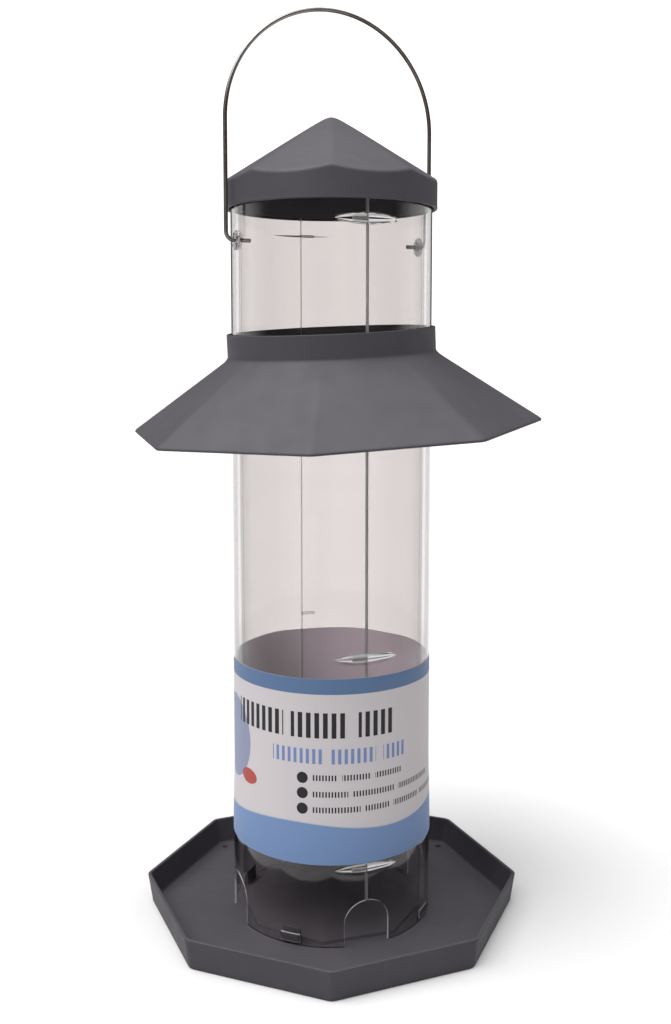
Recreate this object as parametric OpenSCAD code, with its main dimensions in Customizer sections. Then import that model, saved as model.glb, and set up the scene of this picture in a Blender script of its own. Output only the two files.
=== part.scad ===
// Hanging seed tube feeder: clear two-part tube on an octagonal tray, with a
// sliding rain shelter, a lift-off roof and a wire bail.
// Origin: centre of the tray's underside, +Z up, -Y is the label's printed side.
// "Turn" angles are about +Z and measured from -Y towards +X.

/* [Tube] */
// Outer diameter of the seed tube
tube_d = 100; // [90:1:110]
// Thickness of the clear sheet
tube_wall = 1; // [0.8:0.1:1.2]
// Height of the tube's top edge above the ground
tube_top_z = 369; // [360:1:375]
// Turn of the front seam
seam_turn = 20; // [10:1:30]
// Height of the lowest seam lock
lock_z = 39.7; // [38:0.1:42]
// Distance from one seam lock to the next
lock_pitch = 102.9; // [98:0.1:103.5]
// Half length of a lens-shaped lock slit
lock_half_len = 16; // [12:0.5:17]
// Height of a lock slit at the seam
lock_gap = 3.2; // [3:0.1:4]
// Reach of a lock tongue past the seam
tongue_len = 7.6; // [5:0.1:9]

/* [Feed ports] */
// Width of an arched feed port
port_w = 22.8; // [18:0.2:26]
// Height of a port's top above the ground
port_top_z = 24; // [22:0.2:30]

/* [Tray] */
// Radius of the rim to its octagon's corners
tray_r = 96.4; // [92:0.2:104]
// Height of the rim
tray_h = 15.3; // [13:0.1:20]
// Thickness of the tray's floor
floor_t = 1.5; // [1.2:0.1:2]
// Thickness of the tray's wall
tray_wall = 1.8; // [1.5:0.1:2.5]

/* [Roof] */
// Outer radius of the roof's skirt
roof_r = 52.4; // [52.2:0.1:53]
// Height of the skirt's lower edge
skirt_z = 357; // [355:0.5:358]
// Height of the rounded tip
tip_z = 402.1; // [400:0.1:404]
// Fall of a roof ridge for each millimetre outwards
ridge_slope = 0.612; // [0.55:0.001:0.65]

/* [Rain shelter] */
// Height of the collar's top edge where the shelter sits
shelter_z = 298; // [290:1:300]
// Inner radius of the collar
collar_in_r = 51; // [50.9:0.1:51.2]
// Outer radius of the collar
collar_r = 52.2; // [52.1:0.1:53]
// Height of the collar
collar_h = 12.6; // [11:0.1:14]
// Radius of the brim to its octagon's corners
brim_r = 103.9; // [100:0.1:108]
// Drop from the collar's top to the brim's lower edge
brim_drop = 48.6; // [44:0.1:52]
// Turn of the shelter on the tube
shelter_turn = -6; // [-22:1:22]
// Lean towards the front
lean_front = 2.8; // [0:0.1:3]
// Lean towards the left
lean_side = 2.34; // [0:0.01:3]

/* [Bail] */
// Diameter of the bail's wire
wire_d = 2; // [1.8:0.1:2.2]
// Height of the bail's pivots
pivot_z = 340.5; // [338:0.5:341]
// Half the distance between the wire's legs
bail_half = 55.5; // [55:0.1:58]
// Height of the top of the bail
bail_top_z = 454.3; // [450:0.1:460]
// Turn of the bail's right-hand pivot
bail_turn = 115; // [110:1:118]

/* [Label] */
// Height of the label's lower edge
label_z = 42.8; // [42:0.1:48]
// Height of the paper label
label_h = 90.9; // [80:0.1:91]

/* [Hidden] */

round_fn = 96;
hull_fn = 32;
over = 1;                       // how far a cutter runs past the faces it cuts
skin = 0.01;                    // height of a plate that only gives a hull a face
octagon = 8;
quarter = 90;
half_turn = 180;
half_side = 22.5;               // from an octagon's corner to the middle of its side

tube_r = tube_d / 2;
tube_in_r = tube_r - tube_wall;
lock_heights = [for (i = [0:3]) lock_z + i * lock_pitch];
lock_lens_r = (pow(lock_half_len, 2) + pow(lock_gap / 2, 2)) / lock_gap;
tongue_h = 1.8;
flap_angle = asin(tongue_len / tube_r) + 1;
cut_from_r = tube_in_r - 4;     // where cutters for the tube's wall start

hook_turn = seam_turn + 46.5;   // hooks sit about halfway between the feed ports
hook_w = 9.4;
hook_low_z = 3.2;
hook_high_z = 6.4;
hook_top_z = 9;
hook_reach = 50.8;
hook_t = 1.3;
hook_gap = 0.4;

tray_draft = 2.2;               // how much smaller the octagon is at its foot
tray_round = 5;
foot_round = 1.2;
rim_bead = 0.5;
drain_r = 1.5;
drain_at = 87;
drain_turn = 45;

spreader_r = 47.5;
spreader_top_z = 13.6;
spreader_foot_w = 4.2;          // width of its wall where it stands on the floor
spreader_turn = -5;

roof_wall = 1.8;
skirt_in_r = roof_r - roof_wall;
roof_apex_z = 404.3;            // where the ridges would meet without the rounded tip
inner_ring_r = 47.6;
inner_ring_t = 1;
inner_ring_z = skirt_z + 1;
seat_gap = 0.3;
ridge_angle = atan(ridge_slope);
tip_r = (roof_apex_z - tip_z) / (1 / cos(ridge_angle) - 1);

brim_t = 1.6;
brim_edge_h = 1.2;
slope_drop = brim_t / cos(atan((brim_drop - collar_h) / (brim_r - collar_r)));
lean_at = (collar_h + slope_drop) / 2;  // how far below its top it leans about

grommet_r = 4.8;
grommet_t = 0.8;
grommet_neck_r = 2.1;
grommet_bore_r = wire_d / 2 + 0.06;
grommet_gap = 0.05;
wire_r = wire_d / 2;
wire_bend = 4;
stub_in = 43;
arch_z = bail_top_z - wire_r - bail_half;

label_t = 0.25;
label_gap = 0.02;

// Octagon with rounded corners, its corners on the axes.
module soft_octagon(corner_r, round_r) {
    offset(r = round_r, $fn = hull_fn)
        circle(r = corner_r - round_r / cos(half_side), $fn = octagon);
}

// Thin plate of a soft octagon, whose lower face is at height z.
module octagon_plate(corner_r, z, round_r = tray_round) {
    translate([0, 0, z]) linear_extrude(height = skin) soft_octagon(corner_r, round_r);
}

// Cutter or solid that points outwards, drawn in the plane of the tube's wall.
module on_wall(turn, from_r, to_r) {
    rotate([0, 0, turn]) translate([0, -from_r, 0]) rotate([quarter, 0, 0])
        linear_extrude(height = to_r - from_r) children();
}

// Pyramid with eight sides, straight to its apex.
module octagon_pyramid(corner_r, height) {
    cylinder(h = height, r1 = corner_r, r2 = 0, $fn = octagon);
}

module snap_hook(turn) {
    rotate([0, 0, turn]) translate([-hook_w / 2, 0, 0]) {
        translate([0, -tube_in_r + hook_gap, 0])
            cube([hook_w, hook_t, hook_top_z]);
        translate([0, -hook_reach, hook_low_z])
            cube([hook_w, hook_reach - tube_in_r + hook_gap + hook_t, hook_high_z - hook_low_z]);
    }
}

module tray_shape() {
    hull() {
        octagon_plate(tray_r - tray_draft - foot_round, 0);
        octagon_plate(tray_r - tray_draft, foot_round);
        octagon_plate(tray_r - rim_bead, tray_h - skin);
        octagon_plate(tray_r, tray_h - rim_bead);
    }
}

module tray_hollow() {
    hull() {
        octagon_plate(tray_r - tray_draft - tray_wall, floor_t);
        octagon_plate(tray_r - tray_wall, tray_h + skin);
    }
}

module tray_pan() {
    color("dimgray") difference() {
        union() {
            difference() {
                tray_shape();
                tray_hollow();
            }
            for (i = [0:3]) snap_hook(hook_turn + i * quarter);
        }
        for (i = [0:3])
            rotate([0, 0, drain_turn + i * quarter]) translate([0, -drain_at, -over])
                cylinder(h = floor_t + 2 * over, r = drain_r, $fn = hull_fn);
    }
}

module seed_spreader() {
    rise = spreader_top_z - floor_t;
    scale_in = (spreader_r - spreader_foot_w) / spreader_r;
    color("dimgray") translate([0, 0, floor_t]) rotate([0, 0, spreader_turn])
        difference() {
            octagon_pyramid(spreader_r, rise);
            translate([0, 0, -skin]) scale(scale_in) octagon_pyramid(spreader_r, rise);
        }
}

// Feed port: an arch whose feet stand on the tray's floor.
module port_outline() {
    spring_z = port_top_z - port_w / 2;
    translate([-port_w / 2, 0]) square([port_w, spring_z]);
    translate([0, spring_z]) circle(r = port_w / 2, $fn = round_fn);
}

// Lens-shaped slit around height 0.
module lock_outline() {
    lift = lock_lens_r - lock_gap / 2;
    intersection() {
        translate([0, lift]) circle(r = lock_lens_r, $fn = round_fn);
        translate([0, -lift]) circle(r = lock_lens_r, $fn = round_fn);
    }
}

module hook_window_outline() {
    translate([-hook_w / 2 - hook_gap, hook_low_z - hook_gap])
        square([hook_w + 2 * hook_gap, hook_high_z - hook_low_z + 2 * hook_gap]);
}

// What is cut at the seam where a half shell has its tongues: the slits above
// and below each tongue, and all of the flap past the seam but the tongues.
module tongue_seam_outline() {
    difference() {
        union() {
            for (z = lock_heights) translate([0, z]) lock_outline();
            translate([-2 * tongue_len, 0]) square([2 * tongue_len, tube_top_z + over]);
        }
        for (z = lock_heights)
            translate([-tongue_len, z - tongue_h / 2])
                square([tongue_len + lock_half_len, tongue_h]);
    }
}

// One of the two equal half shells, which runs from the seam at from_turn to
// the seam opposite. Its tongues reach past the first seam into the other
// half's slits.
module tube_half(from_turn) {
    difference() {
        translate([0, 0, floor_t]) rotate([0, 0, from_turn - quarter - flap_angle])
            rotate_extrude(angle = half_turn + flap_angle, $fn = round_fn)
                translate([tube_in_r, 0]) square([tube_wall, tube_top_z - floor_t]);
        on_wall(from_turn, cut_from_r, tube_r + over) tongue_seam_outline();
        for (z = lock_heights)
            translate([0, 0, z]) on_wall(from_turn + half_turn, cut_from_r, tube_r + over) lock_outline();
        for (i = [0:3]) {
            on_wall(seam_turn + i * quarter, cut_from_r, tube_r + over) port_outline();
            on_wall(hook_turn + i * quarter, cut_from_r, tube_r + over) hook_window_outline();
        }
        on_wall(bail_turn + (from_turn > seam_turn ? half_turn : 0), cut_from_r, tube_r + over)
            translate([0, pivot_z])
                circle(r = grommet_neck_r + grommet_gap, $fn = round_fn);
    }
}

module tube_half_right() {
    color("gainsboro", 0.4) tube_half(seam_turn);
}

module tube_half_left() {
    color("gainsboro", 0.4) tube_half(seam_turn + half_turn);
}

module label_sleeve() {
    color("lightsteelblue") translate([0, 0, label_z])
        rotate_extrude($fn = round_fn)
            translate([tube_r + label_gap, 0]) square([label_t, label_h]);
}

// Pyramid with a rounded tip, grown outwards when grow is above 0.
module roof_pyramid(grow) {
    apex = roof_apex_z + grow;
    low = skirt_z;
    hull() {
        translate([0, 0, low])
            cylinder(h = skin, r = (apex - low) / ridge_slope, $fn = octagon);
        translate([0, 0, tip_z + grow - tip_r]) sphere(r = tip_r, $fn = hull_fn);
    }
}

module roof_cap() {
    seat_z = tube_top_z + seat_gap;
    fall = roof_wall / cos(ridge_angle);
    color("dimgray") {
        difference() {
            intersection() {
                translate([0, 0, skirt_z])
                    cylinder(h = tip_z - skirt_z, r = roof_r, $fn = round_fn);
                roof_pyramid(0);
            }
            translate([0, 0, skirt_z - over])
                cylinder(h = seat_z - skirt_z + over, r = skirt_in_r, $fn = round_fn);
            intersection() {
                translate([0, 0, seat_z - over])
                    cylinder(h = tip_z - seat_z, r = inner_ring_r, $fn = round_fn);
                roof_pyramid(-fall);
            }
        }
        translate([0, 0, inner_ring_z])
            rotate_extrude($fn = round_fn)
                translate([inner_ring_r, 0]) square([inner_ring_t, seat_z - inner_ring_z]);
    }
}

// Cone from a round collar down to an octagonal brim.
module shelter_cone(top_r, corner_r, top_z, edge_h) {
    hull() {
        translate([0, 0, top_z]) cylinder(h = skin, r = top_r, $fn = round_fn);
        translate([0, 0, -brim_drop])
            cylinder(h = edge_h, r = corner_r, $fn = octagon);
    }
}

module rain_shelter() {
    color("slategray") translate([0, 0, shelter_z - lean_at])
        rotate([lean_front, -lean_side, 0]) rotate([0, 0, shelter_turn])
            translate([0, 0, lean_at]) difference() {
                union() {
                    translate([0, 0, -collar_h])
                        cylinder(h = collar_h, r = collar_r, $fn = round_fn);
                    shelter_cone(collar_r, brim_r, -collar_h, brim_edge_h);
                }
                translate([0, 0, -slope_drop])
                    shelter_cone(collar_in_r, brim_r - brim_t, -collar_h, skin);
                translate([0, 0, -brim_drop])
                    cylinder(h = brim_drop + over, r = collar_in_r, $fn = round_fn);
            }
}

// Bend of a quarter turn, from pointing inwards to pointing up.
module wire_elbow() {
    rotate([quarter, 0, 0]) rotate([0, 0, -quarter])
        rotate_extrude(angle = quarter, $fn = round_fn)
            translate([wire_bend, 0]) circle(r = wire_r, $fn = hull_fn);
}

module bail_side() {
    leg_h = arch_z - pivot_z - wire_bend;
    translate([bail_half - wire_bend, 0, wire_bend]) wire_elbow();
    translate([bail_half, 0, wire_bend]) cylinder(h = leg_h, r = wire_r, $fn = hull_fn);
    translate([stub_in, 0, 0]) rotate([0, quarter, 0])
        cylinder(h = bail_half - wire_bend - stub_in, r = wire_r, $fn = hull_fn);
}

module bail_wire() {
    color("darkgray") translate([0, 0, pivot_z]) rotate([0, 0, bail_turn - quarter]) {
        for (side = [0, half_turn]) rotate([0, 0, side]) bail_side();
        translate([0, 0, arch_z - pivot_z]) rotate([quarter, 0, 0])
            rotate_extrude(angle = half_turn, $fn = round_fn)
                translate([bail_half, 0]) circle(r = wire_r, $fn = hull_fn);
    }
}

// Snap-in grommet that guides the wire through the tube's wall.
module bail_grommet(turn) {
    color("whitesmoke", 0.6) translate([0, 0, pivot_z]) rotate([0, 0, turn - quarter])
        rotate([0, quarter, 0]) difference() {
            union() {
                translate([0, 0, tube_r + grommet_gap])
                    cylinder(h = grommet_t, r = grommet_r, $fn = round_fn);
                translate([0, 0, tube_in_r - grommet_t])
                    cylinder(h = tube_wall + 2 * grommet_t, r = grommet_neck_r, $fn = round_fn);
            }
            translate([0, 0, stub_in])
                cylinder(h = bail_half - stub_in, r = grommet_bore_r, $fn = round_fn);
        }
}

module bail_grommet_left() {
    bail_grommet(bail_turn + half_turn);
}

module bail_grommet_right() {
    bail_grommet(bail_turn);
}

tray_pan();
seed_spreader();
tube_half_right();
tube_half_left();
label_sleeve();
roof_cap();
rain_shelter();
bail_wire();
bail_grommet_left();
bail_grommet_right();
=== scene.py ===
"""Hanging seed tube feeder: the detailed surfaces, materials, light and camera."""

import math

import bmesh
import bpy
import numpy as np
from mathutils import Euler, Matrix, Vector, geometry


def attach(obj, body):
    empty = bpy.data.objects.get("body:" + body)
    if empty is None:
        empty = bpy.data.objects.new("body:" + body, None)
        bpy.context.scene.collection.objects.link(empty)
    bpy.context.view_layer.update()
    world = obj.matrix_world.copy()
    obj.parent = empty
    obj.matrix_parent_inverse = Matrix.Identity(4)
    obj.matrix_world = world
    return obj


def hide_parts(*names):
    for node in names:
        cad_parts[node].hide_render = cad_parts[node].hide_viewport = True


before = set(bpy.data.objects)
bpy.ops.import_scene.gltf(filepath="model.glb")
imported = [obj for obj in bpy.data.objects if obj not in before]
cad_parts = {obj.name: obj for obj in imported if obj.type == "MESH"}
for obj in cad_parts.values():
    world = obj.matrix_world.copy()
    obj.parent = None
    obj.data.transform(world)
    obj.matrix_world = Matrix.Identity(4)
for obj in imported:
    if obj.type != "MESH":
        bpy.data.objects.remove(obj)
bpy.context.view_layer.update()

# Lengths below are in millimetres and angles in degrees, as on the part's drawing.
# A turn is an angle about +Z, measured from -Y towards +X.
MM = 0.001
OCTAGON = 8
HALF_SIDE = 22.5
QUARTER = 90

# Clear tube. Lengths along the sheet are measured round its outer face.
TUBE_R = 50
TUBE_IN_R = 49
TUBE_LOW_Z = 1.5
TUBE_TOP_Z = 369
SEAM_TURN = 20
SEAM_GAP = 0.12
FRONT_STRIP = 1.05
BACK_STRIP = 0.5
LOCK_LOW_Z = 39.7
LOCK_PITCH = 102.9
LOCK_HEIGHTS = [LOCK_LOW_Z + LOCK_PITCH * i for i in range(4)]
LOCK_HALF_LEN = 16
LOCK_HALF_GAP = 0.9
SHUT_HALF_GAP = 0.2
LOCK_RIM = 1.15
SHUT_RIM = 0.25
TONGUE_LEN = 7.6
TONGUE_HALF_H = 0.9
TAB_HALF_H = 0.66
TUCK = 1.05
TUCK_RUN = 2
SLIT_HALF_H = 0.42
PORT_HALF_W = 11.4
PORT_SPRING_Z = 12.6
HOOK_TURN = SEAM_TURN + 46.5
HOOK_W = 9.4
HOOK_LOW_Z = 3.2
HOOK_HIGH_Z = 6.4
HOOK_TOP_Z = 9
HOOK_REACH = 50.8
HOOK_T = 1.3
HOOK_GAP = 0.4
LIP_IN = 1.5
LIP_FLAT = 1.15
LIP_FADE = 0.8
LIP_RAMP = 1.6
FOOT_FLARE = 0.7
FLARE_TOP = 84
FLARE_LOW = 43

# Tray and spreader.
FLOOR_T = 1.5
TRAY_R = 96.4
TRAY_FOOT_R = 94.2
TRAY_H = 15.3
TRAY_WALL = 1.8
TRAY_ROUND = 5
DRAIN_AT = 87
DRAIN_R = 1.5
SPREADER_R = 47.5
SPREADER_TOP_Z = 13.6
SPREADER_TURN = -5
SPREADER_ROUND = 2.5

# Roof.
ROOF_R = 52.4
SKIRT_IN_R = 50.6
SKIRT_Z = 357
ROOF_APEX_Z = 404.3
ROOF_FALL = 0.6624
ROOF_TIP_SOFT = 3.1
RIDGE_SOFT = 0.6
ROOF_WALL_FALL = 2.11
RING_R = 47.6
RING_T = 1
RING_Z = 358
SEAT_Z = 369.3

# Rain shelter, upright and with its collar's top at 0 before it leans.
SHELTER_Z = 298
COLLAR_IN_R = 51
COLLAR_R = 52.2
COLLAR_H = 12.6
BRIM_R = 103.9
BRIM_DROP = 48.6
BRIM_T = 1.6
BRIM_EDGE_H = 1.2
BRIM_ROUND = 6
SLOPE_DROP = 1.95
LEAN_AT = 7.28
LEAN_FRONT = 2.8
LEAN_SIDE = 2.34
SHELTER_TURN = -6

# Bail and grommets.
WIRE_R = 1
WIRE_BEND = 4
STUB_IN = 43
PIVOT_Z = 340.5
BAIL_HALF = 55.5
ARCH_Z = 397.8
BAIL_TURN = 115
GROMMET_R = 4.8
GROMMET_T = 0.8
GROMMET_NECK_R = 2.1
GROMMET_BORE_R = 1.06
GROMMET_GAP = 0.05

# Label.
LABEL_R = 50.02
LABEL_T = 0.15
LABEL_Z = 42.8
LABEL_H = 90.9
LABEL_START = -190
LABEL_END = 181.4
LABEL_OVER = 0.17
OVER_START = 166
OVER_RUN = 4
RIPPLE = 0.3

# Light and floor.
SKY_STRENGTH = 1.5
BACKDROP_STRENGTH = 1.25
PANEL_START = 0.36
PANEL_FULL = 0.46
FLOOR_HALF = 30000

# The camera's place is in metres, and its turns are in radians.
CAMERA_AT = (0, -0.5789, 0.2915)
CAMERA_DOWN = 0.093
CAMERA_YAW = -0.0035
CAMERA_LENS = 40.38
CAMERA_SHIFT_UP = -0.0605

# Turns of the points of every octagonal ring: dense at the corners.
CORNER_STEPS = [0.25, 0.5, 0.75, 1, 1.25, 1.6, 2.2, 3.2, 4.8, 7, 9.8, 12.8, 16, 19.2]


def octagon_turns():
    around = [-s for s in reversed(CORNER_STEPS)] + [0] + CORNER_STEPS + [HALF_SIDE]
    return [corner * 45 + s for corner in range(OCTAGON) for s in around]


TURNS = octagon_turns()


def at_turn(turn, radius, z):
    angle = math.radians(turn)
    return (math.sin(angle) * radius, -math.cos(angle) * radius, z)


def soft_octagon(turn, corner_r, round_r):
    """Radius at this turn of an octagon with rounded corners."""
    off = abs((turn + HALF_SIDE) % 45 - HALF_SIDE)
    half = math.radians(HALF_SIDE)
    centre = corner_r - round_r / math.cos(half)
    joins = math.atan2(round_r * math.sin(half), centre + round_r * math.cos(half))
    off = math.radians(off)
    if off < joins:
        rest = round_r**2 - (centre * math.sin(off)) ** 2
        return centre * math.cos(off) + math.sqrt(rest)
    return corner_r * math.cos(half) / math.cos(half - off)


def arc(cx, cz, radius, start, end, steps=5):
    """Points of an arc in the plane of radius and height, from start to end degrees."""
    angles = [math.radians(start + (end - start) * i / steps) for i in range(steps + 1)]
    return [(cx + radius * math.cos(a), cz + radius * math.sin(a)) for a in angles]


def make_object(name, points, faces, materials, face_slots=None):
    """Object from points in millimetres, with a material slot for each face."""
    mesh = bpy.data.meshes.new(name)
    mesh.from_pydata([(x * MM, y * MM, z * MM) for x, y, z in points], [], faces)
    for material in materials:
        mesh.materials.append(material)
    if face_slots:
        mesh.polygons.foreach_set("material_index", face_slots)
    obj = bpy.data.objects.new(name, mesh)
    bpy.context.scene.collection.objects.link(obj)
    return obj


def settle_normals(obj, sharp=35):
    """Faces look outwards and shade smoothly, and flat faces stay flat."""
    bm = bmesh.new()
    bm.from_mesh(obj.data)
    bmesh.ops.recalc_face_normals(bm, faces=bm.faces)
    bm.to_mesh(obj.data)
    bm.free()
    obj.data.shade_smooth()
    obj.data.set_sharp_from_angle(angle=math.radians(sharp))
    weighted = obj.modifiers.new("even_shading", "WEIGHTED_NORMAL")
    weighted.keep_sharp = True
    return obj


def apply_modifiers(obj):
    graph = bpy.context.evaluated_depsgraph_get()
    graph.update()
    mesh = bpy.data.meshes.new_from_object(obj.evaluated_get(graph))
    obj.modifiers.clear()
    obj.data = mesh


def weld(obj, matrix=None):
    """Joins points of obj that coincide, and moves it by matrix if there is one."""
    bm = bmesh.new()
    bm.from_mesh(obj.data)
    bmesh.ops.remove_doubles(bm, verts=bm.verts, dist=0.001 * MM)
    if matrix:
        bmesh.ops.transform(bm, matrix=matrix, verts=bm.verts)
    bm.to_mesh(obj.data)
    bm.free()


def ring_solid(name, rings, material, cap_first=True, cap_last=True):
    """Closed skin over rings of points that all have the same number of points."""
    n = len(rings[0])
    points = [p for ring in rings for p in ring]
    faces = []
    for k in range(len(rings) - 1):
        a, b = k * n, (k + 1) * n
        faces += [(a + i, a + (i + 1) % n, b + (i + 1) % n, b + i) for i in range(n)]
    if cap_first:
        faces.append(tuple(range(n)))
    if cap_last:
        faces.append(tuple(range(len(points) - n, len(points))))
    return make_object(name, points, faces, [material])


def octagon_rings(profile, round_r):
    return [
        [at_turn(t, soft_octagon(t, corner_r, round_r), z) for t in TURNS]
        for corner_r, z in profile
    ]


def block(bm, low, high, bevel=0.25):
    """Adds a box with softened edges to bm, between two corners."""
    size = [h - l for l, h in zip(low, high)]
    middle = [(h + l) / 2 for l, h in zip(low, high)]
    made = bmesh.ops.create_cube(bm, size=1)["verts"]
    bmesh.ops.scale(bm, vec=size, verts=made)
    bmesh.ops.translate(bm, vec=middle, verts=made)
    edges = list({e for v in made for e in v.link_edges})
    bmesh.ops.bevel(bm, geom=edges, offset=bevel, segments=2, profile=0.5, affect="EDGES")


# ---------------------------------------------------------------- materials

# Sockets of the colour Mix node: its two colours and its result.
MIX_A, MIX_B, MIX_OUT = 6, 7, 2

# Tint of the clear sheet, from seen face on at 0 to seen edge on at 1: darker as the view
# runs longer through the wall, with painted reflection bands (0.65 to 0.73) and painted
# dark edge lines (0.6, 0.78).
SLANT_TINTS_WITH_PAINTED_EDGE_LIGHT = [
    (0, (0.795, 0.765, 0.757)),
    (0.43, (0.735, 0.707, 0.7)),
    (0.53, (0.655, 0.63, 0.62)),
    (0.585, (0.6, 0.576, 0.57)),
    (0.6, (0.2, 0.19, 0.19)),
    (0.615, (0.6, 0.58, 0.575)),
    (0.65, (0.95, 0.95, 0.95)),
    (0.73, (0.92, 0.92, 0.92)),
    (0.78, (0.36, 0.345, 0.34)),
]


def new_material(name):
    material = bpy.data.materials.new(name)
    material.use_nodes = True
    tree = material.node_tree
    return material, tree, tree.nodes["Principled BSDF"]


def node(tree, kind, **values):
    made = tree.nodes.new(kind)
    for key, value in values.items():
        setattr(made, key, value)
    return made


def place(tree, stretch=(1, 1, 1)):
    """Coordinates fixed to the object, in metres, stretched along its axes."""
    coords = node(tree, "ShaderNodeTexCoord")
    mapping = node(tree, "ShaderNodeMapping")
    mapping.inputs["Scale"].default_value = stretch
    tree.links.new(coords.outputs["Object"], mapping.inputs["Vector"])
    return mapping.outputs["Vector"]


def noise(tree, vector, scale, detail=2, rough=0.5):
    made = node(tree, "ShaderNodeTexNoise")
    made.inputs["Scale"].default_value = scale
    made.inputs["Detail"].default_value = detail
    made.inputs["Roughness"].default_value = rough
    tree.links.new(vector, made.inputs["Vector"])
    return made.outputs["Fac"]


def ramp(tree, factor, stops):
    """Colour ramp through (position, colour) stops."""
    made = node(tree, "ShaderNodeValToRGB")
    elements = made.color_ramp.elements
    while len(elements) < len(stops):
        elements.new(0.5)
    for element, (position, colour) in zip(elements, stops):
        element.position = position
        element.color = (*colour, 1)
    tree.links.new(factor, made.inputs["Fac"])
    return made.outputs["Color"]


def spread(tree, factor, low, high, from_low=0.3, from_high=0.7):
    made = node(tree, "ShaderNodeMapRange")
    made.inputs["From Min"].default_value = from_low
    made.inputs["From Max"].default_value = from_high
    made.inputs["To Min"].default_value = low
    made.inputs["To Max"].default_value = high
    tree.links.new(factor, made.inputs["Value"])
    return made.outputs["Result"]


def maths(tree, operation, *values):
    """Result of a Math node on numbers and on outputs of other nodes."""
    made = node(tree, "ShaderNodeMath", operation=operation)
    for socket, value in zip(made.inputs, values):
        if isinstance(value, (int, float)):
            socket.default_value = value
        else:
            tree.links.new(value, socket)
    return made.outputs["Value"]


def bump(tree, shader, height, strength, distance):
    made = node(tree, "ShaderNodeBump")
    made.inputs["Strength"].default_value = strength
    made.inputs["Distance"].default_value = distance
    tree.links.new(height, made.inputs["Height"])
    tree.links.new(made.outputs["Normal"], shader.inputs["Normal"])


def shaded(colour, factor):
    return tuple(c * factor for c in colour)


def moulded_plastic(name, colour):
    """Slate grey moulded plastic with a fine matt grain and faint flow clouds."""
    material, tree, shader = new_material(name)
    where = place(tree)
    clouds = noise(tree, where, 28, 4)
    tint = ramp(tree, clouds, [(0.3, shaded(colour, 0.93)), (0.7, shaded(colour, 1.07))])
    tree.links.new(tint, shader.inputs["Base Color"])
    rub = noise(tree, where, 90, 3)
    tree.links.new(spread(tree, rub, 0.56, 0.66), shader.inputs["Roughness"])
    shader.inputs["Specular IOR Level"].default_value = 0.32
    bump(tree, shader, noise(tree, where, 1700, 2), 0.08, 0.0001)
    return material


def let_lamps_through(tree, shader, colour):
    """Light from lamps passes the clear sheet, tinted, to what is behind it."""
    path = node(tree, "ShaderNodeLightPath")
    clear = node(tree, "ShaderNodeBsdfTransparent")
    clear.inputs["Color"].default_value = (*colour, 1)
    mix = node(tree, "ShaderNodeMixShader")
    tree.links.new(path.outputs["Is Shadow Ray"], mix.inputs["Fac"])
    tree.links.new(shader.outputs["BSDF"], mix.inputs[1])
    tree.links.new(clear.outputs["BSDF"], mix.inputs[2])
    tree.links.new(mix.outputs["Shader"], tree.nodes["Material Output"].inputs["Surface"])


def clear_plastic():
    """Clear rolled sheet with faint upright streaks, darker where it slants, with painted
    reflection bands and painted dark lines near its edges.
    """
    material, tree, shader = new_material("clear_sheet")
    streaks = noise(tree, place(tree, (60, 60, 2.5)), 1, 3)
    haze = ramp(tree, streaks, [(0.35, (0.97, 0.97, 0.97)), (0.65, (1, 1, 1))])
    slant = node(tree, "ShaderNodeLayerWeight")
    slant.inputs["Blend"].default_value = 0.5
    # Painted light: pale reflection bands and dark edge lines by slant, over the darkening
    # of the longer path.
    depth = ramp(tree, slant.outputs["Facing"], SLANT_TINTS_WITH_PAINTED_EDGE_LIGHT)
    tint = node(tree, "ShaderNodeMix", data_type="RGBA", blend_type="MULTIPLY")
    tint.inputs["Factor"].default_value = 1
    tree.links.new(depth, tint.inputs[MIX_A])
    tree.links.new(haze, tint.inputs[MIX_B])
    tree.links.new(tint.outputs[MIX_OUT], shader.inputs["Base Color"])
    shader.inputs["Roughness"].default_value = 0
    shader.inputs["IOR"].default_value = 1.36
    shader.inputs["Transmission Weight"].default_value = 1
    let_lamps_through(tree, shader, (0.97, 0.97, 0.97))
    return material


def cut_edge():
    """Frosted edge where the clear sheet was cut."""
    material, tree, shader = new_material("clear_sheet_cut_edge")
    marks = noise(tree, place(tree, (1, 1, 0.2)), 900, 2)
    tint = ramp(tree, marks, [(0.3, (0.34, 0.325, 0.32)), (0.7, (0.44, 0.425, 0.42))])
    tree.links.new(tint, shader.inputs["Base Color"])
    shader.inputs["Roughness"].default_value = 0.35
    return material


def lip_with_painted_highlight():
    """Pressed lip beside a lock slit, painted pale: a painted highlight for the light from
    above that the pressed sheet catches.
    """
    material, tree, shader = new_material("clear_sheet_lip_painted_highlight")
    marks = noise(tree, place(tree), 1300, 3)
    # Painted highlight: pale colour standing in for light the pressed lip catches from
    # above.
    tint = ramp(tree, marks, [(0.3, (0.74, 0.74, 0.74)), (0.7, (0.9, 0.9, 0.9))])
    tree.links.new(tint, shader.inputs["Base Color"])
    shader.inputs["Roughness"].default_value = 0.2
    return material


def rubbed_strip():
    """Dull grey strip where one half shell lies behind the other at the seam."""
    material, tree, shader = new_material("clear_sheet_overlap")
    marks = noise(tree, place(tree, (1, 1, 0.1)), 1100, 3)
    tint = ramp(tree, marks, [(0.3, (0.23, 0.22, 0.217)), (0.7, (0.29, 0.28, 0.275))])
    tree.links.new(tint, shader.inputs["Base Color"])
    shader.inputs["Roughness"].default_value = 0.3
    shader.inputs["Transmission Weight"].default_value = 0.75
    let_lamps_through(tree, shader, (0.5, 0.5, 0.5))
    return material


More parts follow.
